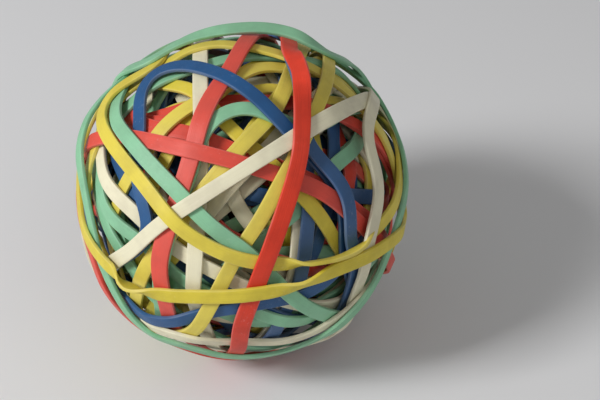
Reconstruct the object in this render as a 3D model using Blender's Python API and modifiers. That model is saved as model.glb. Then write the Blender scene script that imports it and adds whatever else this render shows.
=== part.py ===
"""Rubber band ball: flat bands in five colours, wound one over another round a wound core.

Every band is a closed flat loop. Its route over the ball is chosen by hand, as it is seen from the front.
Its height comes from the winding: each band is pushed up by the bands below it and down by those above,
the table presses the underside flat, and the soft core yields under them.
"""

import math

import bmesh
import bpy
import numpy as np

MM = 0.001

# Driving dimensions
BALL_RADIUS = 33.6 * MM
WINDING_DEPTH = 1.7 * MM
BAND_THICKNESS = 0.5 * MM
WINDING_GAP = 0.3 * MM
PRESSED_DEPTH = 0.2 * MM
SITTING_HEIGHT = BALL_RADIUS

# Face widths of the bands as they lie stretched on the ball
BROAD = 3.0 * MM
WIDE = 2.6 * MM
PLAIN = 2.4 * MM
SLIM = 2.1 * MM

# The front view that the routes are chosen in
VIEW_TILT = math.radians(38)
VIEW_DISTANCE_IN_RADII = 7.66
VIEW_RIGHT = np.array((1.0, 0.0, 0.0))
VIEW_UPWARD = np.array((0.0, math.sin(VIEW_TILT), math.cos(VIEW_TILT)))
VIEW_TOWARD = np.array((0.0, -math.cos(VIEW_TILT), math.sin(VIEW_TILT)))
LEAST_SLANT = 0.1

# A route is a smooth closed curve, made of waves up to this many a turn
MOST_WAVES = 13
ROUTE_STIFFNESS = 1.5e-5
LEAST_STIFFNESS = 1e-9
PLACE_SPACING = math.radians(4)
UNSEEN_PLACES = 14
HEADING_SPAN = 2
UNSEEN_WEIGHT = 0.05
LEAST_UNSEEN_LENGTH = math.radians(120)
ROUTE_STEPS = 720

# Each band is a loop of straight spans, and contacts are looked for at some places along each span
SECTIONS = 32
PLACES_PER_SPAN = 6
PLACES_ACROSS = 5
SIDEWAYS_MARGIN = 0.35 * MM

# Settling of the bands on one another
SETTLING_ROUNDS = 600
EASING_ROUNDS = 350
TENSION = 0.1
PULL_TO_LEVEL = 0.03
PRESSING_IN = 0.3
LEAST_DOWNWARD = 0.5

CORE_SUBDIVISIONS = 3
CORE_REACH = 7.0 * MM

RUBBER = {
    "red": (0.62, 0.045, 0.022),
    "yellow": (0.72, 0.56, 0.045),
    "green": (0.26, 0.60, 0.36),
    "blue": (0.025, 0.12, 0.36),
    "white": (0.78, 0.71, 0.55),
    "core": (0.10, 0.085, 0.07),
}
RUBBER_ROUGHNESS = 0.55

# Each band from the innermost to the outermost: colour, face width, and the places that it passes,
# across and up from the ball's middle as seen from the front, in hundredths of the ball's radius
WINDINGS = (
    ("blue", PLAIN, ((-64, 20), (-65, 8), (-62, -4), (-59, -16), (-54, -32), (-49, -45),
        (-40, -55), (-35, -65), (-29, -72))),
    ("white", PLAIN, ((-55, -7), (-51, -17), (-37, -41), (-14, -52))),
    ("white", PLAIN, ((-74, -54), (-71, -59), (-63, -65), (-59, -68))),
    ("white", PLAIN, ((41, -14), (40, -25), (39, -37))),
    ("green", PLAIN, ((35, -15), (46, -5), (62, 17), (75, 29))),
    ("green", PLAIN, ((-12, -80), (5, -85), (20, -86), (35, -82))),
    ("blue", PLAIN, ((31, -74), (26, -82), (22, -89))),
    ("green", SLIM, ((-59, 64), (-63, 59), (-66, 53))),
    ("yellow", SLIM, ((7, 71), (15, 73), (25, 71))),
    ("white", PLAIN, ((24, 38), (18, 31), (8, 21))),
    ("red", SLIM, ((-70, 49), (-59, 52), (-46, 56), (-31, 61))),
    ("red", SLIM, ((-71, 48), (-53, 47), (-40, 51), (-31, 54))),
    ("yellow", PLAIN, ((-27, 57), (-33, 51), (-39, 43), (-44, 34), (-50, 23))),
    ("red", PLAIN, ((-70, 48), (-59, 42), (-43, 40), (-31, 38), (-6, 30), (23, 19))),
    ("yellow", PLAIN, ((-49, 71), (-40, 69), (-29, 65), (-18, 54), (-7, 43), (1, 36), (9, 29))),
    ("blue", SLIM, ((-78, 12), (-74, 4), (-69, -5))),
    ("yellow", SLIM, ((-37, -26), (-41, -38), (-47, -45), (-52, -52), (-55, -64), (-56, -70))),
    ("yellow", PLAIN, ((1, 76), (8, 80), (17, 82), (25, 82))),
    ("green", WIDE, ((-82, 45), (-88, 38), (-92, 30), (-94, 20), (-93, 8), (-91, -4), (-88, -15))),
    ("green", PLAIN, ((-89, 17), (-89, 5), (-86, -7), (-81, -17), (-75, -23))),
    ("white", WIDE, ((-87, 26), (-86, 17), (-84, 8), (-78, -1), (-71, -9), (-64, -17))),
    ("white", WIDE, ((-26, 88), (-25, 70), (-25, 45), (-27, 17), (-29, -41), (-30, -57))),
    ("yellow", WIDE, ((32, 78), (30, 72), (22, 54), (16, 46), (-4, 25), (-22, 5), (-31, -6))),
    ("green", PLAIN, ((-47, -34), (-44, -19), (-39, -3), (-32, 14), (-27, 28), (-22, 38),
        (-17, 45), (-10, 48), (-1, 50), (9, 51), (20, 48), (29, 43), (39, 41), (53, 45), (69, 54))),
    ("yellow", PLAIN, ((-80, 48), (-75, 57), (-68, 65), (-57, 74), (-49, 80), (-40, 84), (-31, 89),
        (-22, 91), (-3, 92), (12, 90), (28, 85))),
    ("red", BROAD, ((5, 95), (-1, 86), (-6, 77), (-17, 58), (-26, 38), (-32, 17), (-40, -4),
        (-47, -31), (-49, -43), (-47, -55), (-45, -71))),
    ("blue", PLAIN, ((-91, -54), (-86, -49), (-79, -44), (-71, -38), (-63, -32), (-58, -25),
        (-59, -16), (-62, -4), (-65, 8), (-64, 23), (-63, 36), (-63, 45), (-62, 55), (-58, 65),
        (-53, 73), (-44, 76), (-34, 76), (-22, 74), (-12, 70), (-1, 63), (9, 56), (27, 40),
        (38, 30), (50, 17), (57, 9), (63, -1), (66, -11), (68, -23))),
    ("blue", PLAIN, ((-71, -65), (-63, -71), (-54, -75), (-31, -76), (-2, -71), (26, -67),
        (50, -59), (66, -46))),
    ("red", WIDE, ((-89, 30), (-82, 33), (-69, 34), (-46, 29), (-25, 24), (-4, 19), (17, 13),
        (44, 4), (60, -6), (73, -17))),
    ("blue", PLAIN, ((30, 89), (29, 82), (33, 73), (35, 55), (36, 45), (38, 35), (43, 26),
        (50, 17), (57, 9), (63, -1), (66, -11), (68, -23), (71, -37))),
    ("yellow", PLAIN, ((31, 20), (25, 8), (12, -17), (-6, -45), (-18, -67), (-26, -80), (-34, -85),
        (-49, -84))),
    ("green", WIDE, ((-73, 55), (-75, 48), (-72, 40), (-57, 21), (-40, 2), (-17, -22), (4, -38),
        (28, -61), (42, -71), (58, -76))),
    ("white", WIDE, ((-76, -41), (-63, -32), (-49, -19), (-25, -3), (-1, 12), (23, 27), (53, 45),
        (69, 54))),
    ("yellow", PLAIN, ((-43, 103), (-46, 91), (-50, 80), (-57, 73), (-68, 65), (-75, 57),
        (-80, 48), (-81, 42), (-74, 26), (-54, 1), (-35, -21), (-15, -35), (9, -43), (35, -43),
        (62, -38), (87, -19), (97, 5), (97, 17))),
    ("white", WIDE, ((91, 74), (82, 62), (78, 52), (76, 36), (82, 14), (84, 2), (82, -9),
        (76, -34), (71, -60), (66, -70), (53, -85), (48, -89))),
    ("white", SLIM, ((-53, -80), (-37, -83), (-16, -90), (5, -94), (32, -90), (51, -79))),
    ("red", BROAD, ((29, 89), (28, 82), (32, 73), (34, 55), (34, 43), (32, 14), (26, -9),
        (13, -45), (1, -76), (-5, -101))),
    ("green", PLAIN, ((-86, -38), (-82, -46), (-72, -64), (-54, -82), (-31, -93), (5, -99),
        (35, -93), (53, -80))),
    ("red", PLAIN, ((-114, 11), (-103, -7), (-96, -23), (-92, -34), (-83, -52), (-66, -75),
        (-46, -89), (-32, -102), (-12, -117))),
    ("green", PLAIN, ((-108, 67), (-82, 67), (-68, 72), (-54, 78), (-49, 83), (-28, 92), (-1, 96),
        (20, 95), (38, 89), (57, 81), (74, 85), (94, 79))),
    ("yellow", WIDE, ((-98, 8), (-98, -7), (-91, -27), (-79, -42), (-63, -54), (-31, -61),
        (5, -60), (35, -54), (62, -43), (85, -31), (100, -17))),
)


def unit(vectors):
    """The same vectors at length one."""
    return vectors / np.linalg.norm(vectors, axis=-1, keepdims=True)


def seen_direction(across, up):
    """Direction from the ball's centre to a place in the front view, round the back if past the edge."""
    spread = math.hypot(across, up)
    limb_angle = math.asin(1 / VIEW_DISTANCE_IN_RADII)
    view_angle = math.atan(min(spread / 100, 1.0) * math.tan(limb_angle))
    off_axis = math.asin(min(VIEW_DISTANCE_IN_RADII * math.sin(view_angle), 1.0)) - view_angle
    off_axis += max(spread / 100 - 1, 0.0)
    outward = (across * VIEW_RIGHT + up * VIEW_UPWARD) / spread
    return math.cos(off_axis) * VIEW_TOWARD + math.sin(off_axis) * outward


def route_waves(turns):
    """Waves along a closed route, from none to the most in a turn."""
    phases = np.outer(turns, np.arange(MOST_WAVES + 1))
    return np.concatenate((np.cos(phases), np.sin(phases)), axis=1)


def run_on(end, inner, lengths):
    """Directions on the straight run past an end place, away from its inner neighbour."""
    heading = unit(end * (end @ inner) - inner)
    return np.cos(lengths)[:, None] * end + np.sin(lengths)[:, None] * heading


def unseen_places(seen):
    """Places round the back: the straight runs past both ends, blended from the one into the other."""
    seen_length = np.arccos(np.clip((seen[1:] * seen[:-1]).sum(axis=1), -1, 1)).sum()
    unseen_length = max(2 * math.pi - seen_length, LEAST_UNSEEN_LENGTH)
    shares = np.arange(1, UNSEEN_PLACES + 1) / (UNSEEN_PLACES + 1)
    inner = min(HEADING_SPAN, len(seen) - 1)
    leaving = run_on(seen[-1], seen[-1 - inner], shares * unseen_length)
    returning = run_on(seen[0], seen[inner], (1 - shares) * unseen_length)
    blend = (shares * shares * (3 - 2 * shares))[:, None]
    return unit((1 - blend) * leaving + blend * returning)


def filled_in(seen):
    """The seen places, with more of them on the straight runs between."""
    runs = []
    for start, end in zip(seen, seen[1:]):
        steps = max(round(math.acos(min(start @ end, 1.0)) / PLACE_SPACING), 1)
        shares = np.linspace(0, 1, steps, endpoint=False)[:, None]
        runs.append(unit(start * (1 - shares) + end * shares))
    return np.concatenate((*runs, seen[-1:]))


def winding_route(places):
    """Directions of a band's sections, evenly along a smooth loop through the places and round the back."""
    seen = np.array([seen_direction(across, up) for across, up in places])
    unseen = unseen_places(seen)
    seen = filled_in(seen)
    points = np.concatenate((seen, unseen))
    slants = np.clip(seen @ VIEW_TOWARD, LEAST_SLANT, 1) ** 2
    weights = np.concatenate((slants, np.full(len(unseen), UNSEEN_WEIGHT)))[:, None]
    hops = np.arccos(np.clip((points * np.roll(points, -1, axis=0)).sum(axis=1), -1, 1))
    turns = 2 * math.pi * (np.cumsum(hops) - hops) / hops.sum()
    waves = route_waves(turns)
    bending = ROUTE_STIFFNESS * (np.arange(MOST_WAVES + 1) ** 2 - 1) ** 2 + LEAST_STIFFNESS
    stiffness = np.diag(np.tile(bending, 2))
    shares = np.linalg.solve(waves.T @ (weights * waves) + stiffness, waves.T @ (weights * points))
    fine = unit(route_waves(np.linspace(0, 2 * math.pi, ROUTE_STEPS + 1)) @ shares)
    lengths = np.concatenate(((0,), np.cumsum(np.linalg.norm(np.diff(fine, axis=0), axis=1))))
    even = np.linspace(0, lengths[-1], SECTIONS, endpoint=False)
    return unit(np.stack([np.interp(even, lengths, fine[:, axis]) for axis in range(3)], axis=1))


def sideways(route):
    """Direction across the band at each section: along, across and outward make a right hand."""
    along = unit(np.roll(route, -1, axis=0) - np.roll(route, 1, axis=0))
    return unit(np.cross(route, along))


def span_places(route):
    """Places along the straight spans: direction, section before, share of the span, and sag of the chord."""
    section = np.repeat(np.arange(SECTIONS), PLACES_PER_SPAN)
    share = np.tile(np.arange(PLACES_PER_SPAN) / PLACES_PER_SPAN, SECTIONS)
    after = route[(section + 1) % SECTIONS]
    chord = route[section] * (1 - share)[:, None] + after * share[:, None]
    sag = np.linalg.norm(chord, axis=1)
    return chord / sag[:, None], section, share, sag


def contacts(lower, upper):
    """Where the upper band lies over the lower one: pairs of places along the two."""
    route, section = upper["places"][:2]
    across = sideways(upper["route"])[section]
    pairs = []
    for share in np.linspace(-0.5, 0.5, PLACES_ACROSS):
        probes = unit(route + across * share * upper["width"] / BALL_RADIUS)
        cosines = probes @ lower["places"][0].T
        nearest = cosines.argmax(axis=1)
        distance = np.arccos(np.clip(cosines.max(axis=1), -1, 1)) * BALL_RADIUS
        covered = np.flatnonzero(distance < lower["width"] / 2 + SIDEWAYS_MARGIN)
        pairs.append(np.stack((nearest[covered], covered), axis=1))
    return np.unique(np.concatenate(pairs), axis=0)


def place_radius(radius, band, section, share, sag):
    """Radius of a band's underside at places along its spans."""
    after = (section + 1) % SECTIONS
    return (radius[band, section] * (1 - share) + radius[band, after] * share) * sag


def push(change, band, section, share, amount):
    """Note the amount that a place wants to move by on the two sections of its span."""
    balance = share * share + (1 - share) * (1 - share)
    after = (section + 1) % SECTIONS
    np.maximum.at(change, (band, section), amount * (1 - share) / balance)
    np.maximum.at(change, (band, after), amount * share / balance)


def settle(bands):
    """Radius of the underside at each section of each band, once every band has found its height."""
    lower_rows = []
    upper_rows = []
    for top, upper in enumerate(bands):
        for bottom, lower in enumerate(bands[:top]):
            pairs = contacts(lower, upper)
            for rows, index, band, column in ((lower_rows, bottom, lower, 0), (upper_rows, top, upper, 1)):
                section, share, sag = (values[pairs[:, column]] for values in band["places"][1:])
                rows.append((np.full(len(pairs), index), section, share, sag))
    lower = [np.concatenate(values) for values in zip(*lower_rows)]
    upper = [np.concatenate(values) for values in zip(*upper_rows)]
    highest = BALL_RADIUS - BAND_THICKNESS
    levels = np.linspace(highest - WINDING_DEPTH, highest, len(bands))[:, None]
    radius = np.repeat(levels, SECTIONS, axis=1)
    layer = BAND_THICKNESS + WINDING_GAP
    downward = np.maximum([-band["route"][:, 2] for band in bands], LEAST_DOWNWARD)
    table = SITTING_HEIGHT / downward - BAND_THICKNESS
    for settling in range(SETTLING_ROUNDS):
        ease = max(0.0, 1 - settling / EASING_ROUNDS)
        beside = (np.roll(radius, 1, axis=1) + np.roll(radius, -1, axis=1)) / 2
        pressed_in = PRESSING_IN * np.maximum(radius - highest, 0)
        radius += ease * (TENSION * (beside - radius) + PULL_TO_LEVEL * (levels - radius) - pressed_in)
        short = layer - place_radius(radius, *upper) + place_radius(radius, *lower)
        short = np.maximum(short, 0)
        rise = np.zeros_like(radius)
        fall = np.zeros_like(radius)
        push(rise, *upper[:3], short / 2)
        push(fall, *lower[:3], short / 2)
        radius = np.minimum(radius + rise - fall, table)
    return radius


def wind_bands():
    """Every band with its route and the radius of its underside at each section, inner bands first."""
    bands = []
    counts = {}
    for colour, width, places in WINDINGS:
        counts[colour] = counts.get(colour, 0) + 1
        route = winding_route(places)
        name = f"{colour}_band_{counts[colour]}"
        bands.append({
            "name": name, "colour": colour, "width": width, "route": route, "places": span_places(route)})
    for band, radius in zip(bands, settle(bands)):
        band["radius"] = radius
    return bands


def clear_scene():
    """Remove whatever the scene holds."""
    for obj in list(bpy.data.objects):
        bpy.data.objects.remove(obj, do_unlink=True)


def new_collection(name):
    """An empty collection in the scene."""
    collection = bpy.data.collections.new(name)
    bpy.context.scene.collection.children.link(collection)
    return collection


def rubber_material(colour):
    """Matt rubber in one colour."""
    material = bpy.data.materials.new(f"{colour}_rubber")
    material.use_nodes = True
    shader = material.node_tree.nodes["Principled BSDF"]
    shader.inputs["Base Color"].default_value = (*RUBBER[colour], 1.0)
    shader.inputs["Roughness"].default_value = RUBBER_ROUGHNESS
    shader.inputs["Metallic"].default_value = 0.0
    return material


def mesh_object(name, bm, collection, material, centre):
    """An object at the ball's centre from a finished bmesh."""
    mesh = bpy.data.meshes.new(name)
    bm.to_mesh(mesh)
    bm.free()
    obj = bpy.data.objects.new(name, mesh)
    obj.location = centre
    collection.objects.link(obj)
    if material:
        mesh.materials.append(material)
    return obj


def build_core(bands, collection, centre):
    """The wound middle of the ball, one solid, pressed in wherever the bands on it run deep."""
    undersides = []
    for band in bands:
        directions, section, share, sag = band["places"]
        after = (section + 1) % SECTIONS
        radius = (band["radius"][section] * (1 - share) + band["radius"][after] * share) * sag
        undersides.append(directions * radius[:, None])
    undersides = np.concatenate(undersides)
    radii = np.linalg.norm(undersides, axis=1)
    bm = bmesh.new()
    bmesh.ops.create_icosphere(bm, subdivisions=CORE_SUBDIVISIONS, radius=BALL_RADIUS)
    for vert in bm.verts:
        direction = unit(np.array(vert.co))
        beside = np.linalg.norm(undersides - direction * radii[:, None], axis=1)
        reach = max(CORE_REACH, beside.min())
        vert.co = direction * (radii[beside <= reach].min() - WINDING_GAP)
    return mesh_object("wound_core", bm, collection, rubber_material("core"), centre)


def build_band(band, collection, material, centre):
    """One flat band: an open strip round the ball, thickened outward."""
    across = sideways(band["route"]) * band["width"] / 2
    middle = band["route"] * band["radius"][:, None]
    bm = bmesh.new()
    bmesh.ops.create_cone(
        bm, segments=SECTIONS, radius1=BALL_RADIUS, radius2=BALL_RADIUS, depth=band["width"], cap_ends=False)
    for vert in bm.verts:
        turn = math.atan2(vert.co.y, vert.co.x) / (2 * math.pi)
        section = round(turn * SECTIONS) % SECTIONS
        side = 1 if vert.co.z > 0 else -1
        vert.co = middle[section] + side * across[section]
    obj = mesh_object(band["name"], bm, collection, material, centre)
    wall = obj.modifiers.new("thickness", "SOLIDIFY")
    wall.thickness = BAND_THICKNESS
    wall.offset = 1.0
    wall.use_even_offset = True
    return obj


def build_table_cutter(collection):
    """A block below the table level, which takes off what the table presses flat."""
    bm = bmesh.new()
    size = 2 * BALL_RADIUS
    bmesh.ops.create_cube(bm, size=size)
    cutter = mesh_object("table_cutter", bm, collection, None, (0, 0, -size / 2))
    cutter.hide_render = True
    cutter.display_type = "WIRE"
    return cutter


def press_flat(obj, cutter):
    """Cut the band flat where the ball's weight presses it on the table."""
    cut = obj.modifiers.new("pressed", "BOOLEAN")
    cut.operation = "DIFFERENCE"
    cut.object = cutter


def outer_corners(band):
    """Corners of the band's outer face."""
    across = sideways(band["route"]) * band["width"] / 2
    middle = band["route"] * (band["radius"] + BAND_THICKNESS)[:, None]
    return np.concatenate((middle - across, middle + across))


def main():
    clear_scene()
    bands = wind_bands()
    outer = np.concatenate([outer_corners(band) for band in bands])
    lowest = outer.min(axis=0)
    highest = outer.max(axis=0)
    centre = (
        -(lowest[0] + highest[0]) / 2,
        -(lowest[1] + highest[1]) / 2,
        SITTING_HEIGHT - PRESSED_DEPTH,
    )
    ball = new_collection("rubber_band_ball")
    cutter = build_table_cutter(new_collection("cutters"))
    materials = {colour: rubber_material(colour) for colour in RUBBER if colour != "core"}
    build_core(bands, ball, centre)
    for band in bands:
        obj = build_band(band, ball, materials[band["colour"]], centre)
        if outer_corners(band)[:, 2].min() + centre[2] < 0:
            press_flat(obj, cutter)


main()
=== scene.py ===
"""Looks of the rubber band ball: every band as a soft strip with rounded edges, lying on those below.

Each strip follows its band's route and starts from the height of its solid. The windings that show
only in the gaps, and those deeper down, belong to the wound core.
"""

import math

import bmesh
import bpy
import numpy as np
from mathutils import Matrix, Vector
from mathutils.bvhtree import BVHTree

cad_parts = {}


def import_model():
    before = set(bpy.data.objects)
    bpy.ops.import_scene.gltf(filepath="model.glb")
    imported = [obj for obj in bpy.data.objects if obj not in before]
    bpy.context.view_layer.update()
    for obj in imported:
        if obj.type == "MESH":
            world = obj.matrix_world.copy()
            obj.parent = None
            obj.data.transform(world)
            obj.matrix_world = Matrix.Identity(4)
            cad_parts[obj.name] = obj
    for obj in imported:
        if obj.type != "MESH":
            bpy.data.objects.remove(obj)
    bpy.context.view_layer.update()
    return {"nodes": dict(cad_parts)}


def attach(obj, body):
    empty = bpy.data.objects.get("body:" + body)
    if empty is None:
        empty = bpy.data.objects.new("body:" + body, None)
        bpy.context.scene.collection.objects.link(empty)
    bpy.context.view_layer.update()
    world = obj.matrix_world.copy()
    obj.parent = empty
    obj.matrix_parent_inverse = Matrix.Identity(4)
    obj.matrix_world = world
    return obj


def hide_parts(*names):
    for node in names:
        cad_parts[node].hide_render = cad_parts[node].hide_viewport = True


MM = 0.001

# The ball and the front view that the routes are chosen in, as in the part
BALL_RADIUS = 33.6 * MM
BALL_MIDDLE = np.array((-0.10732, -0.47266, 33.4)) * MM
VIEW_HEADING = math.radians(-90)
VIEW_TILT = math.radians(38)
VIEW_DISTANCE_IN_RADII = 7.66
VIEW_RIGHT = np.array((1.0, 0.0, 0.0))
VIEW_UPWARD = np.array((0.0, math.sin(VIEW_TILT), math.cos(VIEW_TILT)))
VIEW_TOWARD = np.array((0.0, -math.cos(VIEW_TILT), math.sin(VIEW_TILT)))
PLACES_IN_RADIUS = 100
LEAST_SLANT = 0.1

# Strip sections: widths as the bands lie on the ball, and the real rubber's thickness
BROAD = 3.3 * MM
WIDE = 2.95 * MM
PLAIN = 2.75 * MM
SLIM = 2.4 * MM
STRIP_THICKNESS = 0.74 * MM
SOLID_THICKNESS = 0.5 * MM
EDGE_ROUNDING = 0.16 * MM
LAYER_GAP = 0.02 * MM

# A route is a smooth closed curve, made of waves up to this many a turn
MOST_WAVES = 13
ROUTE_STIFFNESS = 1.5e-5
LEAST_STIFFNESS = 1e-9
PLACE_SPACING = math.radians(4)
UNSEEN_PLACES = 14
HEADING_SPAN = 2
UNSEEN_WEIGHT = 0.05
LEAST_UNSEEN_LENGTH = math.radians(120)
ROUTE_STEPS = 1440

# Strips settle at these sections
SECTIONS = 120
PLACES_PER_SPAN = 2
PLACES_ACROSS = (-0.45, 0.0, 0.45)
SIDEWAYS_MARGIN = 0.15 * MM

# Settling of the strips on one another
SETTLING_ROUNDS = 260
EASING_SHARE = 0.75
TENSION = 0.2
TILT_EASE = 0.06
PULL_TO_LEVEL = 0.025
WOUND_OVER_HIDDEN_SHARE = 0.12

# Surfaces of the strips: sections round the ball, points a corner and cuts across each face
STRIP_SECTIONS = 240
STRIP_CORNER_POINTS = 4
STRIP_FACE_CUTS = 3
HIDDEN_SECTIONS = 120
HIDDEN_CORNER_POINTS = 2
HIDDEN_FACE_CUTS = 0
WIDTH_VARIATION = 0.035
WIDTH_WAVES = (2, 3, 5, 8)

# Hidden windings of the core
FILLING_COUNT = 56
FILLING_SEED = 7
FILLING_LEAST_DEPTH = 0.9 * MM
FILLING_MOST_DEPTH = 3.6 * MM
FILLING_WAVINESS = 0.06
INNER_BALL_SUBDIVISIONS = 4

# Linear colours of the rubber
RUBBER = {
    "red": (0.74, 0.042, 0.013),
    "yellow": (0.74, 0.60, 0.045),
    "green": (0.24, 0.55, 0.32),
    "blue": (0.010, 0.088, 0.25),
    "white": (0.80, 0.75, 0.53),
    "core": (0.10, 0.085, 0.07),
}
WOUND_COLOURS = ("red", "yellow", "green", "blue", "white")
PALE_LEVEL = 0.9
PALE_SHARE = 0.3
DEEPER_SHADE = (0.74, 0.72, 0.72, 1)
AGED_SHARE = 0.1
AGED_CHANGE = 0.1

# Patterns on the rubber: waves a metre, with their detail and roughness, and the ranges that are used
MOTTLING = {"scale": 170, "detail": 3.0, "roughness": 0.6}
MOTTLING_RANGE = (0.38, 0.66)
MOTTLING_SHARE = 0.55
GRAIN = {"scale": 3800, "detail": 3.0, "roughness": 0.65}
GRAIN_HEIGHT = 0.35
STREAKS = {"scale": 1.0, "detail": 3.0, "roughness": 0.6}
STREAK_WAVES_ALONG = 130.0
STREAK_WAVES_ACROSS = 5.5
STREAK_RANGE = (0.5, 0.72)
STREAK_SHARE = 0.35
PATCHES = {"scale": 95, "detail": 2.0, "roughness": 0.5}
WORN_EDGE_RANGE = (0.80, 1.0)
WORN_PATCH_RANGE = (0.34, 0.62)
WORN_EDGE_SHARE = 0.8
TALC = {"scale": 1500, "detail": 4.0, "roughness": 0.7}
TALC_RANGE = (0.56, 0.72)
TALC_PATCH_RANGE = (0.46, 0.68)
WEAR = 0.4

# Gloss and relief of the rubber
LEAST_ROUGHNESS = 0.36
ROUGHNESS_CHANGE = 0.22
RUBBER_IOR = 1.5
SPECULAR_LEVEL = 0.33
SHEEN_WEIGHT = 0.03
SHEEN_ROUGHNESS = 0.5
RELIEF_STRENGTH = 0.5
RELIEF_DEPTH = 0.12 * MM

# Camera, floor and light
CAMERA_DISTANCE = 262 * MM
CAMERA_LENS = 76.6
CAMERA_SHIFT = (0.0975, -0.0117)
CAMERA_NEAREST = 1 * MM
FLOOR_SIZE = 6.0
FLOOR_COLOUR = (0.78, 0.78, 0.79)
FLOOR_ROUGHNESS = 0.85
KEY_HEADING = math.radians(205.8)
KEY_ELEVATION = math.radians(36)
KEY_DISTANCE = 0.9
KEY_SIZE = 0.22
KEY_POWER = 6.2
FILL_HEADING = math.radians(-50)
FILL_ELEVATION = math.radians(48)
FILL_DISTANCE = 1.1
FILL_SIZE = 0.9
FILL_POWER = 1.2
WORLD_STRENGTH = 0.26

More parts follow.
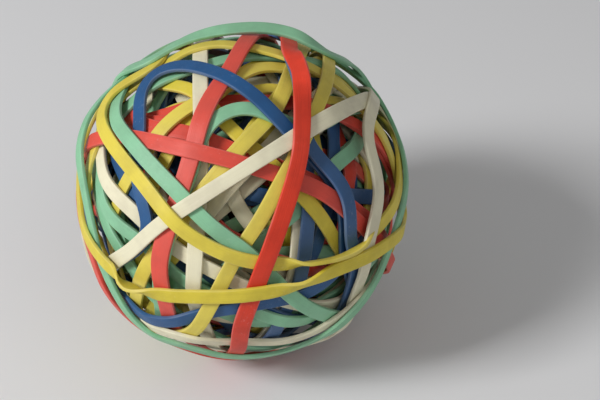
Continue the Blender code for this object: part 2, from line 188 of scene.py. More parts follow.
# Each band from the innermost to the outermost: colour, face width, and the places that it passes,
# across and up from the ball's middle as seen from the front, in hundredths of the ball's radius
WINDINGS = (
    ("blue", PLAIN, ((-64, 20), (-65, 8), (-62, -4), (-59, -16), (-54, -32), (-49, -45),
        (-40, -55), (-35, -65), (-29, -72))),
    ("white", PLAIN, ((-55, -7), (-51, -17), (-37, -41), (-14, -52))),
    ("white", PLAIN, ((-74, -54), (-71, -59), (-63, -65), (-59, -68))),
    ("white", PLAIN, ((41, -14), (40, -25), (39, -37))),
    ("green", PLAIN, ((35, -15), (46, -5), (62, 17), (75, 29))),
    ("green", PLAIN, ((-12, -80), (5, -85), (20, -86), (35, -82))),
    ("blue", PLAIN, ((31, -74), (26, -82), (22, -89))),
    ("green", SLIM, ((-59, 64), (-63, 59), (-66, 53))),
    ("yellow", SLIM, ((7, 71), (15, 73), (25, 71))),
    ("white", PLAIN, ((24, 38), (18, 31), (8, 21))),
    ("red", SLIM, ((-70, 49), (-59, 52), (-46, 56), (-31, 61))),
    ("red", SLIM, ((-71, 48), (-53, 47), (-40, 51), (-31, 54))),
    ("yellow", PLAIN, ((-27, 57), (-33, 51), (-39, 43), (-44, 34), (-50, 23))),
    ("red", PLAIN, ((-70, 48), (-59, 42), (-43, 40), (-31, 38), (-6, 30), (23, 19))),
    ("yellow", PLAIN, ((-49, 71), (-40, 69), (-29, 65), (-18, 54), (-7, 43), (1, 36), (9, 29))),
    ("blue", SLIM, ((-78, 12), (-74, 4), (-69, -5))),
    ("yellow", SLIM, ((-37, -26), (-41, -38), (-47, -45), (-52, -52), (-55, -64), (-56, -70))),
    ("yellow", PLAIN, ((1, 76), (8, 80), (17, 82), (25, 82))),
    ("green", WIDE, ((-82, 45), (-88, 38), (-92, 30), (-94, 20), (-93, 8), (-91, -4), (-88, -15))),
    ("green", PLAIN, ((-89, 17), (-89, 5), (-86, -7), (-81, -17), (-75, -23))),
    ("white", WIDE, ((-87, 26), (-86, 17), (-84, 8), (-78, -1), (-71, -9), (-64, -17))),
    ("white", WIDE, ((-26, 88), (-25, 70), (-25, 45), (-27, 17), (-29, -41), (-30, -57))),
    ("yellow", WIDE, ((32, 78), (30, 72), (22, 54), (16, 46), (-4, 25), (-22, 5), (-31, -6))),
    ("green", PLAIN, ((-47, -34), (-44, -19), (-39, -3), (-32, 14), (-27, 28), (-22, 38),
        (-17, 45), (-10, 48), (-1, 50), (9, 51), (20, 48), (29, 43), (39, 41), (53, 45), (69, 54))),
    ("yellow", PLAIN, ((-80, 48), (-75, 57), (-68, 65), (-57, 74), (-49, 80), (-40, 84), (-31, 89),
        (-22, 91), (-3, 92), (12, 90), (28, 85))),
    ("red", BROAD, ((5, 95), (-1, 86), (-6, 77), (-17, 58), (-26, 38), (-32, 17), (-40, -4),
        (-47, -31), (-49, -43), (-47, -55), (-45, -71))),
    ("blue", PLAIN, ((-91, -54), (-86, -49), (-79, -44), (-71, -38), (-63, -32), (-58, -25),
        (-59, -16), (-62, -4), (-65, 8), (-64, 23), (-63, 36), (-63, 45), (-62, 55), (-58, 65),
        (-53, 73), (-44, 76), (-34, 76), (-22, 74), (-12, 70), (-1, 63), (9, 56), (27, 40),
        (38, 30), (50, 17), (57, 9), (63, -1), (66, -11), (68, -23))),
    ("blue", PLAIN, ((-71, -65), (-63, -71), (-54, -75), (-31, -76), (-2, -71), (26, -67),
        (50, -59), (66, -46))),
    ("red", WIDE, ((-89, 30), (-82, 33), (-69, 34), (-46, 29), (-25, 24), (-4, 19), (17, 13),
        (44, 4), (60, -6), (73, -17))),
    ("blue", PLAIN, ((30, 89), (29, 82), (33, 73), (35, 55), (36, 45), (38, 35), (43, 26),
        (50, 17), (57, 9), (63, -1), (66, -11), (68, -23), (71, -37))),
    ("yellow", PLAIN, ((31, 20), (25, 8), (12, -17), (-6, -45), (-18, -67), (-26, -80), (-34, -85),
        (-49, -84))),
    ("green", WIDE, ((-73, 55), (-75, 48), (-72, 40), (-57, 21), (-40, 2), (-17, -22), (4, -38),
        (28, -61), (42, -71), (58, -76))),
    ("white", WIDE, ((-76, -41), (-63, -32), (-49, -19), (-25, -3), (-1, 12), (23, 27), (53, 45),
        (69, 54))),
    ("yellow", PLAIN, ((-43, 103), (-46, 91), (-50, 80), (-57, 73), (-68, 65), (-75, 57),
        (-80, 48), (-81, 42), (-74, 26), (-54, 1), (-35, -21), (-15, -35), (9, -43), (35, -43),
        (62, -38), (87, -19), (97, 5), (97, 17))),
    ("white", WIDE, ((91, 74), (82, 62), (78, 52), (76, 36), (82, 14), (84, 2), (82, -9),
        (76, -34), (71, -60), (66, -70), (53, -85), (48, -89))),
    ("white", SLIM, ((-53, -80), (-37, -83), (-16, -90), (5, -94), (32, -90), (51, -79))),
    ("red", BROAD, ((29, 89), (28, 82), (32, 73), (34, 55), (34, 43), (32, 14), (26, -9),
        (13, -45), (1, -76), (-5, -101))),
    ("green", PLAIN, ((-86, -38), (-82, -46), (-72, -64), (-54, -82), (-31, -93), (5, -99),
        (35, -93), (53, -80))),
    ("red", PLAIN, ((-114, 11), (-103, -7), (-96, -23), (-92, -34), (-83, -52), (-66, -75),
        (-46, -89), (-32, -102), (-12, -117))),
    ("green", PLAIN, ((-108, 67), (-82, 67), (-68, 72), (-54, 78), (-49, 83), (-28, 92), (-1, 96),
        (20, 95), (38, 89), (57, 81), (74, 85), (94, 79))),
    ("yellow", WIDE, ((-98, 8), (-98, -7), (-91, -27), (-79, -42), (-63, -54), (-31, -61),
        (5, -60), (35, -54), (62, -43), (85, -31), (100, -17))),
)

# Windings that only show in the gaps between the bands
GLIMPSES = (
    ("blue", SLIM, ((-23, 14), (-28, 6))),
    ("green", PLAIN, ((-38, 33), (-42, 23))),
    ("blue", PLAIN, ((-50, 35), (-42, 15))),
    ("green", PLAIN, ((-4, -25), (5, -20))),
    ("blue", PLAIN, ((1, 1), (14, -2))),
    ("red", PLAIN, ((-28, -18), (-14, -30))),
    ("white", PLAIN, ((-8, -6), (-15, -12))),
    ("blue", SLIM, ((8, 67), (20, 67))),
    ("red", PLAIN, ((30, -49), (40, -47))),
    ("white", PLAIN, ((46, -66), (63, -67))),
    ("green", PLAIN, ((-34, -36), (-22, -39))),
    ("blue", PLAIN, ((-21, -82), (-14, -85), (-7, -88))),
    ("yellow", PLAIN, ((-51, 60), (-47, 67))),
    ("white", PLAIN, ((-51, 58), (-42, 64))),
    ("white", WIDE, ((-7, 0), (-3, -9), (3, -18))),
    ("green", PLAIN, ((-66, -42), (-56, -50))),
    ("yellow", PLAIN, ((53, -21), (51, -29), (49, -39))),
    ("blue", PLAIN, ((60, -19), (57, -28), (53, -38))),
    ("blue", SLIM, ((-68, 60), (-62, 66), (-54, 72))),
    ("red", SLIM, ((-84, 24), (-79, 17), (-69, 8))),
)

# Twists: how far a band is rolled over, in degrees, by the number of the place along its route
TWISTS = {
    "yellow_band_10": ((3.3, 0), (3.95, 72), (4.6, 0), (6.4, 0), (7.0, 40), (7.8, 0)),
    "red_band_6": ((0.4, 0), (2.1, 52), (3.6, 0)),
    "yellow_band_9": ((12.6, 0), (13.2, 70), (14.2, 70), (14.9, 0)),
    "green_band_9": ((4.0, 0), (5.8, 30), (7.6, 30), (9.0, 0)),
}


def unit(vectors):
    """The same vectors at length one."""
    return vectors / np.linalg.norm(vectors, axis=-1, keepdims=True)


def seen_direction(across, up):
    """Direction from the ball's middle to a place in the front view, round the back if past the edge."""
    spread = math.hypot(across, up)
    radii = spread / PLACES_IN_RADIUS
    limb_angle = math.asin(1 / VIEW_DISTANCE_IN_RADII)
    view_angle = math.atan(min(radii, 1.0) * math.tan(limb_angle))
    off_axis = math.asin(min(VIEW_DISTANCE_IN_RADII * math.sin(view_angle), 1.0)) - view_angle
    off_axis += max(radii - 1, 0.0)
    outward = (across * VIEW_RIGHT + up * VIEW_UPWARD) / spread
    return math.cos(off_axis) * VIEW_TOWARD + math.sin(off_axis) * outward


def route_waves(turns):
    """Waves along a closed route, from none to the most in a turn."""
    phases = np.outer(turns, np.arange(MOST_WAVES + 1))
    return np.concatenate((np.cos(phases), np.sin(phases)), axis=1)


def even_sections(fine):
    """Directions evenly spaced along a closed route."""
    lengths = np.concatenate(((0,), np.cumsum(np.linalg.norm(np.diff(fine, axis=0), axis=1))))
    even = np.linspace(0, lengths[-1], SECTIONS, endpoint=False)
    return unit(np.stack([np.interp(even, lengths, fine[:, axis]) for axis in range(3)], axis=1))


def run_on(end, inner, lengths):
    """Directions on the straight run past an end place, away from its inner neighbour."""
    heading = unit(end * (end @ inner) - inner)
    return np.cos(lengths)[:, None] * end + np.sin(lengths)[:, None] * heading


def unseen_places(seen):
    """Places round the back: the straight runs past both ends, blended from the one into the other."""
    seen_length = np.arccos(np.clip((seen[1:] * seen[:-1]).sum(axis=1), -1, 1)).sum()
    unseen_length = max(2 * math.pi - seen_length, LEAST_UNSEEN_LENGTH)
    shares = np.arange(1, UNSEEN_PLACES + 1) / (UNSEEN_PLACES + 1)
    inner = min(HEADING_SPAN, len(seen) - 1)
    leaving = run_on(seen[-1], seen[-1 - inner], shares * unseen_length)
    returning = run_on(seen[0], seen[inner], (1 - shares) * unseen_length)
    blend = (shares * shares * (3 - 2 * shares))[:, None]
    return unit((1 - blend) * leaving + blend * returning)


def filled_in(seen):
    """The seen places, with more of them on the straight runs between."""
    runs = []
    for start, end in zip(seen, seen[1:]):
        steps = max(round(math.acos(min(start @ end, 1.0)) / PLACE_SPACING), 1)
        shares = np.linspace(0, 1, steps, endpoint=False)[:, None]
        runs.append(unit(start * (1 - shares) + end * shares))
    return np.concatenate((*runs, seen[-1:]))


def winding_route(places):
    """Directions of a band's sections, evenly along a smooth loop through the places and round the back."""
    seen = np.array([seen_direction(across, up) for across, up in places])
    unseen = unseen_places(seen)
    seen = filled_in(seen)
    points = np.concatenate((seen, unseen))
    slants = np.clip(seen @ VIEW_TOWARD, LEAST_SLANT, 1) ** 2
    weights = np.concatenate((slants, np.full(len(unseen), UNSEEN_WEIGHT)))[:, None]
    hops = np.arccos(np.clip((points * np.roll(points, -1, axis=0)).sum(axis=1), -1, 1))
    turns = 2 * math.pi * (np.cumsum(hops) - hops) / hops.sum()
    waves = route_waves(turns)
    bending = ROUTE_STIFFNESS * (np.arange(MOST_WAVES + 1) ** 2 - 1) ** 2 + LEAST_STIFFNESS
    stiffness = np.diag(np.tile(bending, 2))
    shares = np.linalg.solve(waves.T @ (weights * waves) + stiffness, waves.T @ (weights * points))
    return even_sections(unit(route_waves(np.linspace(0, 2 * math.pi, ROUTE_STEPS + 1)) @ shares))


def filling_route(rng):
    """A slightly wavy loop round the ball in any direction."""
    axis = unit(rng.normal(size=3))
    start = unit(np.cross(axis, unit(rng.normal(size=3))))
    beside = np.cross(axis, start)
    turns = np.linspace(0, 2 * math.pi, ROUTE_STEPS + 1)[:, None]
    wave = FILLING_WAVINESS * rng.normal() * np.sin(2 * turns + rng.uniform(0, 2 * math.pi))
    return even_sections(unit(np.cos(turns) * start + np.sin(turns) * beside + wave * axis))


def sideways(route):
    """Direction across the band at each section: along, across and outward make a right hand."""
    along = unit(np.roll(route, -1, axis=0) - np.roll(route, 1, axis=0))
    return unit(np.cross(route, along))


def surface_tree(node):
    """Ray lookup on a solid of the frame."""
    mesh = node.data
    points = [vert.co.copy() for vert in mesh.vertices]
    return BVHTree.FromPolygons(points, [tuple(face.vertices) for face in mesh.polygons])


def radius_under(tree, directions):
    """Radius at which rays from the ball's middle meet a solid first."""
    middle = Vector(BALL_MIDDLE)
    radii = []
    for direction in directions:
        hit = tree.ray_cast(middle, Vector(direction))[0]
        if hit is None:
            hit = tree.find_nearest(middle + Vector(direction) * BALL_RADIUS)[0]
        radii.append((hit - middle).length)
    return np.array(radii)


def winding_of(node, colour, width, route, level):
    """A winding: its node or none, colour, face width, directions and inner radius along it."""
    return {"node": node, "colour": colour, "width": width, "route": route, "level": level}


def wind_bands(nodes):
    """Every winding, innermost first: filling, glimpses, then the bands that have nodes."""
    rng = np.random.default_rng(FILLING_SEED)
    core = surface_tree(nodes["wound_core"])
    windings = []
    for number in range(FILLING_COUNT):
        route = filling_route(rng)
        depth = np.interp(number, (0, FILLING_COUNT - 1), (FILLING_MOST_DEPTH, FILLING_LEAST_DEPTH))
        colour = WOUND_COLOURS[rng.integers(len(WOUND_COLOURS))]
        level = radius_under(core, route) - STRIP_THICKNESS - depth
        windings.append(winding_of(None, colour, WIDE, route, level))
    for colour, width, places in GLIMPSES:
        route = winding_route(places)
        level = radius_under(core, route) - STRIP_THICKNESS
        windings.append(winding_of(None, colour, width, route, level))
    counts = {}
    for colour, width, places in WINDINGS:
        counts[colour] = counts.get(colour, 0) + 1
        name = f"{colour}_band_{counts[colour]}"
        route = winding_route(places)
        solid_radius = radius_under(surface_tree(nodes[name]), route)
        level = solid_radius - (STRIP_THICKNESS - SOLID_THICKNESS) / 2
        band = winding_of(name, colour, width, route, level)
        band["places"] = places
        windings.append(band)
    return windings


def places_along(route):
    """Places between the sections of a route: direction, section before and share of the span."""
    section = np.repeat(np.arange(SECTIONS), PLACES_PER_SPAN)
    share = np.tile(np.arange(PLACES_PER_SPAN) / PLACES_PER_SPAN, SECTIONS)
    after = route[(section + 1) % SECTIONS]
    return unit(route[section] * (1 - share)[:, None] + after * share[:, None]), section, share


def corner_weights(band, section, share, side):
    """Section corners round a place of a band, and how much each counts; side is 0 at left, 1 at right."""
    after = (section + 1) % SECTIONS
    first = (band * SECTIONS + section) * 2
    second = (band * SECTIONS + after) * 2
    indexes = np.stack((first, first + 1, second, second + 1))
    ahead = 1 - share
    weights = np.stack((ahead * (1 - side), ahead * side, share * (1 - side), share * side))
    return indexes, weights


def find_contacts(windings):
    """Places where a winding lies over another one, as band, section, share and side of both."""
    along = [places_along(winding["route"]) for winding in windings]
    section, share = along[0][1:]
    sides = [sideways(winding["route"])[section] for winding in windings]
    count = len(section)
    lower_parts = []
    upper_parts = []
    for top in range(1, len(windings)):
        below = np.concatenate([along[bottom][0] for bottom in range(top)]).astype(np.float32).T
        below_sides = np.stack(sides[:top])
        half_widths = np.array([winding["width"] for winding in windings[:top]]) / 2
        for across in PLACES_ACROSS:
            probes = unit(along[top][0] + sides[top] * across * windings[top]["width"] / BALL_RADIUS)
            cosines = (probes.astype(np.float32) @ below).reshape(count, top, count)
            nearest = cosines.argmax(axis=2)
            closest = np.take_along_axis(cosines, nearest[:, :, None], axis=2)[:, :, 0]
            distance = np.arccos(np.clip(closest, -1, 1)) * BALL_RADIUS
            place, bottom = np.nonzero(distance < half_widths + SIDEWAYS_MARGIN)
            under = nearest[place, bottom]
            offset = (probes[place] * below_sides[bottom, under]).sum(axis=1) * BALL_RADIUS
            lower_side = np.clip(offset / (2 * half_widths[bottom]) + 0.5, 0, 1)
            upper_side = np.full(len(place), across + 0.5)
            lower_parts.append((bottom, section[under], share[under], lower_side))
            upper_parts.append((np.full(len(place), top), section[place], share[place], upper_side))
    lower = [np.concatenate(values) for values in zip(*lower_parts)]
    upper = [np.concatenate(values) for values in zip(*upper_parts)]
    return lower, upper


def pusher(indexes, weights):
    """A function that gives each section corner the greatest push that any contact asks of it."""
    flat = indexes.ravel()
    order = np.argsort(flat, kind="stable")
    ordered = flat[order]
    starts = np.flatnonzero(np.concatenate(((True,), ordered[1:] != ordered[:-1])))
    targets = ordered[starts]
    shares = weights / (weights ** 2).sum(axis=0)

    def pushes(amounts, size):
        change = np.zeros(size)
        change[targets] = np.maximum.reduceat((shares * amounts).ravel()[order], starts)
        return change

    return pushes


def settle(windings):
    """Radius of the left and right underside corners at every winding's sections."""
    lower, upper = find_contacts(windings)
    wound = np.array([winding["node"] is not None for winding in windings])
    upper_share = np.where(wound[upper[0]] & ~wound[lower[0]], WOUND_OVER_HIDDEN_SHARE, 0.5)
    lower_indexes, lower_weights = corner_weights(*lower)
    upper_indexes, upper_weights = corner_weights(*upper)
    push_down = pusher(lower_indexes, lower_weights)
    push_up = pusher(upper_indexes, upper_weights)
    levels = np.repeat(np.stack([winding["level"] for winding in windings])[:, :, None], 2, axis=2)
    heights = levels.copy()
    layer = STRIP_THICKNESS + LAYER_GAP
    for settling in range(SETTLING_ROUNDS):
        ease = max(0.0, 1 - settling / (EASING_SHARE * SETTLING_ROUNDS))
        beside = (np.roll(heights, 1, axis=1) + np.roll(heights, -1, axis=1)) / 2
        middle = heights.mean(axis=2, keepdims=True)
        heights = heights + ease * TENSION * (beside - heights)
        heights += ease * TILT_EASE * (middle - heights)
        heights += ease * PULL_TO_LEVEL * (levels - heights)
        flat = heights.ravel()
        upper_height = (upper_weights * flat[upper_indexes]).sum(axis=0)
        lower_height = (lower_weights * flat[lower_indexes]).sum(axis=0)
        short = np.maximum(layer - upper_height + lower_height, 0)
        rise = push_up(short * upper_share, flat.size)
        fall = push_down(short * (1 - upper_share), flat.size)
        flat = flat + rise - fall
        heights = flat.reshape(levels.shape)
    return heights


def blank_ring(sections, corner_points, cuts):
    """A ring of strip spun round +Z: its mesh, and each point's section, place across and place outward."""
    width = PLAIN
    bm = bmesh.new()
    corners = bmesh.ops.create_circle(bm, segments=4 * corner_points, radius=EDGE_ROUNDING)["verts"]
    half_step = Matrix.Rotation(math.pi / (4 * corner_points), 3, "Z")
    bmesh.ops.rotate(bm, verts=corners, cent=(0, 0, 0), matrix=half_step)
    for vert in corners:
        vert.co.x += math.copysign(STRIP_THICKNESS / 2 - EDGE_ROUNDING, vert.co.x)
        vert.co.y += math.copysign(width / 2 - EDGE_ROUNDING, vert.co.y)
    if cuts:
        faces_across = [edge for edge in bm.edges if edge.calc_length() > width / 2]
        bmesh.ops.subdivide_edges(bm, edges=faces_across, cuts=cuts)
    bmesh.ops.rotate(bm, verts=bm.verts, cent=(0, 0, 0), matrix=Matrix.Rotation(math.pi / 2, 3, "X"))
    bmesh.ops.translate(bm, verts=bm.verts, vec=(BALL_RADIUS, 0, 0))
    outline = bm.verts[:] + bm.edges[:]
    bmesh.ops.spin(
        bm, geom=outline, cent=(0, 0, 0), axis=(0, 0, 1), angle=2 * math.pi, steps=sections, use_merge=True)
    bmesh.ops.recalc_face_normals(bm, faces=bm.faces)
    for face in bm.faces:
        face.smooth = True
    mesh = bpy.data.meshes.new("blank_ring")
    bm.to_mesh(mesh)
    bm.free()
    points = np.empty(3 * len(mesh.vertices))
    mesh.vertices.foreach_get("co", points)
    points = points.reshape(-1, 3)
    turn = np.arctan2(points[:, 1], points[:, 0]) / (2 * math.pi)
    section = np.round(turn * sections).astype(int) % sections
    across = points[:, 2] / width
    outward = np.hypot(points[:, 0], points[:, 1]) - BALL_RADIUS
    mesh.attributes.new("across", "FLOAT", "POINT").data.foreach_set("value", across * 2)
    return {"mesh": mesh, "section": section, "across": across, "outward": outward, "sections": sections}


def refine(values, count):
    """Values at more places round a closed loop, along smooth curves through the given ones."""
    place = np.arange(count) * len(values) / count
    before = place.astype(int)
    share = (place - before)[:, None]
    first, second, third, fourth = (values[(before + step) % len(values)] for step in (-1, 0, 1, 2))
    rise = (third - first) / 2
    next_rise = (fourth - second) / 2
    bend = 3 * (third - second) - 2 * rise - next_rise
    curl = 2 * (second - third) + rise + next_rise
    return second + share * (rise + share * (bend + share * curl))


def roll_angles(winding):
    """How far the strip is rolled over at each of its sections, in radians."""
    rolls = np.zeros(SECTIONS)
    knots = TWISTS.get(winding["node"], ())
    if not knots:
        return rolls
    places = np.array([seen_direction(*place) for place in winding["places"]])
    marks = []
    for number, degrees in knots:
        before = min(max(int(math.floor(number)), 0), len(places) - 2)
        direction = places[before] + (number - before) * (places[before + 1] - places[before])
        marks.append((int((winding["route"] @ direction).argmax()), math.radians(degrees)))
    for (start, start_angle), (end, end_angle) in zip(marks, marks[1:]):
        steps = (end - start) % SECTIONS
        for step in range(steps + 1):
            share = step / max(steps, 1)
            smooth = share * share * (3 - 2 * share)
            rolls[(start + step) % SECTIONS] = start_angle + smooth * (end_angle - start_angle)
    return rolls


def width_shares(number):
    """Slow changes of a strip's width along it, where it is stretched more or less."""
    rng = np.random.default_rng(number)
    turns = np.linspace(0, 2 * math.pi, SECTIONS, endpoint=False)
    change = 0
    for wave in WIDTH_WAVES:
        change = change + rng.normal() * np.sin(wave * turns + rng.uniform(0, 2 * math.pi))
    return 1 + WIDTH_VARIATION * change / 2


def bend_strip(blank, winding, number):
    """A copy of the blank ring's mesh, bent along the winding's route at its settled height."""
    count = blank["sections"]
    route = unit(refine(winding["route"], count))
    heights = refine(winding["heights"], count)
    rolls = refine(roll_angles(winding)[:, None], count)[:, 0]
    width = winding["width"] * refine(width_shares(number)[:, None], count)[:, 0]
    beside = sideways(route) * (width / 2)[:, None]
    left = route * heights[:, :1] - beside
    right = route * heights[:, 1:] + beside
    across = unit(right - left)
    middle = (left + right) / 2
    along = unit(np.roll(middle, -1, axis=0) - np.roll(middle, 1, axis=0))
    outward = unit(np.cross(along, across))
    lift = STRIP_THICKNESS / 2 + np.abs(np.sin(rolls)) * (width - STRIP_THICKNESS) / 2
    section = blank["section"]
    sidestep = blank["across"] * width[section]
    step_out = blank["outward"]
    cosine = np.cos(rolls)[section]
    sine = np.sin(rolls)[section]
    points = BALL_MIDDLE + middle[section]
    points += across[section] * (sidestep * cosine - step_out * sine)[:, None]
    points += outward[section] * (lift[section] + sidestep * sine + step_out * cosine)[:, None]
    points[:, 2] = np.maximum(points[:, 2], 0)
    mesh = blank["mesh"].copy()
    mesh.vertices.foreach_set("co", points.ravel())
    tone = np.random.default_rng(number).uniform(-1, 1)
    mesh.attributes.new("tone", "FLOAT", "POINT").data.foreach_set("value", np.full(len(points), tone))
    return mesh


def add_piece(name, mesh, slot, *nodes):
    """The piece in the scene, riding on the body and standing for its nodes."""
    piece = bpy.data.objects.new(name, mesh)
    bpy.context.scene.collection.objects.link(piece)
    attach(piece, "root")
    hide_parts(*nodes)
    return piece


def build_strips(windings, materials):
    """One piece for each band that the frame has a solid for."""
    blank = blank_ring(STRIP_SECTIONS, STRIP_CORNER_POINTS, STRIP_FACE_CUTS)
    for number, winding in enumerate(windings):
        if winding["node"] is None:
            continue
        mesh = bend_strip(blank, winding, number)
        mesh.materials.append(materials[winding["colour"]])
        add_piece(f"{winding['node']}_strip", mesh, f"{winding['colour']}_rubber", winding["node"])


def build_core(windings, materials):
    """The wound core: its hidden windings over a plain inner ball."""
    blank = blank_ring(HIDDEN_SECTIONS, HIDDEN_CORNER_POINTS, HIDDEN_FACE_CUTS)
    order = WOUND_COLOURS + ("core",)
    hidden = [winding for winding in windings if winding["node"] is None]
    bm = bmesh.new()
    deepest = min(winding["heights"].min() for winding in hidden)
    inner = bmesh.ops.create_icosphere(bm, subdivisions=INNER_BALL_SUBDIVISIONS, radius=deepest)
    bmesh.ops.translate(bm, verts=inner["verts"], vec=Vector(BALL_MIDDLE))
    for face in bm.faces:
        face.material_index = order.index("core")
        face.smooth = True
    for number, winding in enumerate(hidden):
        mesh = bend_strip(blank, winding, number)
        slots = np.full(len(mesh.polygons), order.index(winding["colour"]), dtype=np.int32)
        mesh.polygons.foreach_set("material_index", slots)
        bm.from_mesh(mesh)
        bpy.data.meshes.remove(mesh)
    mesh = bpy.data.meshes.new("wound_core_windings")
    bm.to_mesh(mesh)
    bm.free()
    for colour in order:
        mesh.materials.append(materials[colour])
    add_piece("wound_core_windings", mesh, "core_rubber", "wound_core")


def add_node(tree, kind, inputs=None, **settings):
    """A shader node with its settings, and values or links on its inputs."""
    node = tree.nodes.new(kind)
    for name, value in settings.items():
        setattr(node, name, value)
    for name, value in (inputs or {}).items():
        if isinstance(value, bpy.types.NodeSocket):
            tree.links.new(value, node.inputs[name])
        else:
            node.inputs[name].default_value = value
    return node


def calculate(tree, operation, *values):
    """Result of one sum on values or links."""
    return add_node(tree, "ShaderNodeMath", dict(enumerate(values)), operation=operation).outputs[0]


def calculate_vector(tree, operation, inputs):
    """Result of one sum on vectors."""
    return add_node(tree, "ShaderNodeVectorMath", inputs, operation=operation).outputs[0]


def ramp(tree, value, limits):
    """The value as a share of the way from the low to the high limit, easing in and out."""
    inputs = {"Value": value, "From Min": limits[0], "From Max": limits[1]}
    node = add_node(tree, "ShaderNodeMapRange", inputs, interpolation_type="SMOOTHSTEP")
    return node.outputs["Result"]


def mix_colour(tree, share, first, second, blend="MIX"):
    """Two colours mixed by a share."""
    node = add_node(tree, "ShaderNodeMix", data_type="RGBA", blend_type=blend)
    for name, value in (("Factor_Float", share), ("A_Color", first), ("B_Color", second)):
        socket = next(item for item in node.inputs if item.identifier == name)
        if isinstance(value, bpy.types.NodeSocket):
            tree.links.new(value, socket)
        else:
            socket.default_value = value
    return next(item for item in node.outputs if item.identifier == "Result_Color")


def noise(tree, vector, scale, detail, roughness):
    """Noise between 0 and 1."""
    inputs = {"Vector": vector, "Scale": scale, "Detail": detail, "Roughness": roughness}
    return add_node(tree, "ShaderNodeTexNoise", inputs).outputs["Fac"]


def rubber_surface_group():
    """Node group: stretched rubber with mottled colour, drawn-out grain, pale worn edges and talc."""
    group = bpy.data.node_groups.new("stretched_rubber", "ShaderNodeTree")
    group.interface.new_socket(name="Colour", in_out="INPUT", socket_type="NodeSocketColor")
    group.interface.new_socket(name="Pale Colour", in_out="INPUT", socket_type="NodeSocketColor")
    group.interface.new_socket(name="Wear", in_out="INPUT", socket_type="NodeSocketFloat")
    group.interface.new_socket(name="Colour", in_out="OUTPUT", socket_type="NodeSocketColor")
    group.interface.new_socket(name="Roughness", in_out="OUTPUT", socket_type="NodeSocketFloat")
    group.interface.new_socket(name="Height", in_out="OUTPUT", socket_type="NodeSocketFloat")
    given = group.nodes.new("NodeGroupInput").outputs
    place = add_node(group, "ShaderNodeTexCoord").outputs["Object"]
    across = add_node(group, "ShaderNodeAttribute", attribute_name="across").outputs["Fac"]
    tone = add_node(group, "ShaderNodeAttribute", attribute_name="tone").outputs["Fac"]
    mottling = noise(group, place, **MOTTLING)
    grain = noise(group, place, **GRAIN)
    patches = noise(group, place, **PATCHES)
    side = add_node(group, "ShaderNodeCombineXYZ", {"X": across, "Y": across, "Z": across}).outputs[0]
    waves_along = calculate_vector(group, "SCALE", {0: place, "Scale": STREAK_WAVES_ALONG})
    waves_across = calculate_vector(group, "SCALE", {0: side, "Scale": STREAK_WAVES_ACROSS})
    drawn_out = calculate_vector(group, "ADD", {0: waves_along, 1: waves_across})
    streaks = noise(group, drawn_out, **STREAKS)
    given_colour = given["Colour"]
    pale_colour = given["Pale Colour"]
    deeper = mix_colour(group, 1.0, given_colour, DEEPER_SHADE, blend="MULTIPLY")
    mottled_share = calculate(group, "MULTIPLY", ramp(group, mottling, MOTTLING_RANGE), MOTTLING_SHARE)
    mottled = mix_colour(group, mottled_share, given_colour, deeper)
    streaked_share = calculate(group, "MULTIPLY", ramp(group, streaks, STREAK_RANGE), STREAK_SHARE)
    streaked = mix_colour(group, streaked_share, mottled, deeper)
    aged_share = calculate(group, "MULTIPLY_ADD", tone, AGED_CHANGE, AGED_SHARE)
    aged = mix_colour(group, aged_share, streaked, pale_colour)
    edge = ramp(group, calculate(group, "ABSOLUTE", across), WORN_EDGE_RANGE)
    edge_wear = calculate(group, "MULTIPLY", edge, ramp(group, patches, WORN_PATCH_RANGE))
    talc_spots = ramp(group, noise(group, place, **TALC), TALC_RANGE)
    talc = calculate(group, "MULTIPLY", talc_spots, ramp(group, patches, TALC_PATCH_RANGE))
    paleness = calculate(group, "MAXIMUM", calculate(group, "MULTIPLY", edge_wear, WORN_EDGE_SHARE), talc)
    worn = mix_colour(group, calculate(group, "MULTIPLY", paleness, given["Wear"]), aged, pale_colour)
    roughness = calculate(group, "MULTIPLY_ADD", mottling, ROUGHNESS_CHANGE, LEAST_ROUGHNESS)
    height = calculate(group, "ADD", calculate(group, "MULTIPLY", grain, GRAIN_HEIGHT), streaks)
    results = group.nodes.new("NodeGroupOutput").inputs
    group.links.new(worn, results["Colour"])
    group.links.new(roughness, results["Roughness"])
    group.links.new(height, results["Height"])
    return group


def rubber_material(colour, group):
    """Soft rubber in one colour."""
    material = bpy.data.materials.new(f"{colour}_rubber")
    material.use_nodes = True
    tree = material.node_tree
    shader = tree.nodes["Principled BSDF"]
    shader.inputs["Metallic"].default_value = 0.0
    shader.inputs["IOR"].default_value = RUBBER_IOR
    shader.inputs["Specular IOR Level"].default_value = SPECULAR_LEVEL
    shader.inputs["Sheen Weight"].default_value = SHEEN_WEIGHT
    shader.inputs["Sheen Roughness"].default_value = SHEEN_ROUGHNESS
    pale = tuple(channel + PALE_SHARE * (PALE_LEVEL - channel) for channel in RUBBER[colour])
    inputs = {"Colour": (*RUBBER[colour], 1), "Pale Colour": (*pale, 1), "Wear": WEAR}
    surface = add_node(tree, "ShaderNodeGroup", node_tree=group)
    for name, value in inputs.items():
        surface.inputs[name].default_value = value
    bump = add_node(tree, "ShaderNodeBump", {
        "Height": surface.outputs["Height"], "Strength": RELIEF_STRENGTH, "Distance": RELIEF_DEPTH})
    tree.links.new(surface.outputs["Colour"], shader.inputs["Base Color"])
    tree.links.new(surface.outputs["Roughness"], shader.inputs["Roughness"])
    tree.links.new(bump.outputs["Normal"], shader.inputs["Normal"])
    return material


def toward(heading, elevation):
    """Unit vector at a heading from +X toward +Y and an elevation."""
    level = math.cos(elevation)
    return Vector((level * math.cos(heading), level * math.sin(heading), math.sin(elevation)))


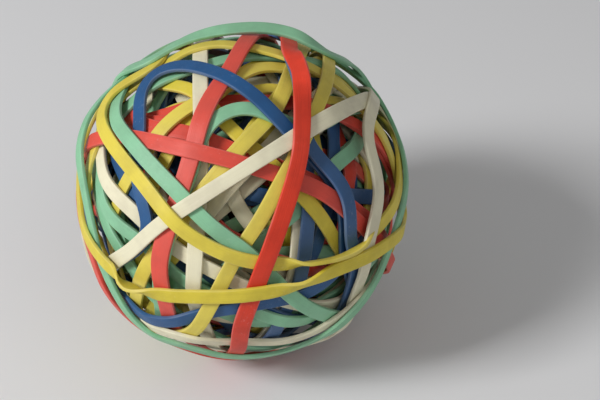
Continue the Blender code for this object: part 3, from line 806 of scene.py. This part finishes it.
def aim(obj, offset):
    """Put a lamp or camera off the ball's middle and point it there."""
    obj.location = Vector(BALL_MIDDLE) + offset
    obj.rotation_euler = (-offset).to_track_quat("-Z", "Y").to_euler()
    bpy.context.scene.collection.objects.link(obj)


def add_lamp(name, offset, size, power):
    """A square soft lamp pointed at the ball."""
    light = bpy.data.lights.new(name, "AREA")
    light.shape = "SQUARE"
    light.size = size
    light.energy = power
    aim(bpy.data.objects.new(name, light), offset)


def add_camera():
    """Camera at the front view that the routes are chosen in."""
    camera = bpy.data.cameras.new("camera")
    camera.lens = CAMERA_LENS
    camera.shift_x, camera.shift_y = CAMERA_SHIFT
    camera.clip_start = CAMERA_NEAREST
    obj = bpy.data.objects.new("camera", camera)
    aim(obj, toward(VIEW_HEADING, VIEW_TILT) * CAMERA_DISTANCE)
    bpy.context.scene.camera = obj


def add_floor():
    """A wide pale floor."""
    bm = bmesh.new()
    bmesh.ops.create_grid(bm, x_segments=1, y_segments=1, size=FLOOR_SIZE / 2)
    mesh = bpy.data.meshes.new("floor")
    bm.to_mesh(mesh)
    bm.free()
    material = bpy.data.materials.new("floor_paper")
    material.use_nodes = True
    shader = material.node_tree.nodes["Principled BSDF"]
    shader.inputs["Base Color"].default_value = (*FLOOR_COLOUR, 1)
    shader.inputs["Roughness"].default_value = FLOOR_ROUGHNESS
    mesh.materials.append(material)
    floor = bpy.data.objects.new("floor", mesh)
    bpy.context.scene.collection.objects.link(floor)


def add_world():
    """Even dim light from all round."""
    world = bpy.data.worlds.new("room")
    world.use_nodes = True
    background = world.node_tree.nodes["Background"]
    background.inputs["Color"].default_value = (1, 1, 1, 1)
    background.inputs["Strength"].default_value = WORLD_STRENGTH
    bpy.context.scene.world = world


def main():
    """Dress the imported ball, light it and look at it."""
    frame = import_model()
    bpy.context.scene.view_settings.view_transform = "Standard"
    windings = wind_bands(frame["nodes"])
    for winding, heights in zip(windings, settle(windings)):
        winding["heights"] = heights
    group = rubber_surface_group()
    materials = {colour: rubber_material(colour, group) for colour in RUBBER}
    build_strips(windings, materials)
    build_core(windings, materials)
    add_floor()
    add_world()
    add_lamp("key", toward(KEY_HEADING, KEY_ELEVATION) * KEY_DISTANCE, KEY_SIZE, KEY_POWER)
    add_lamp("fill", toward(FILL_HEADING, FILL_ELEVATION) * FILL_DISTANCE, FILL_SIZE, FILL_POWER)
    add_camera()


main()
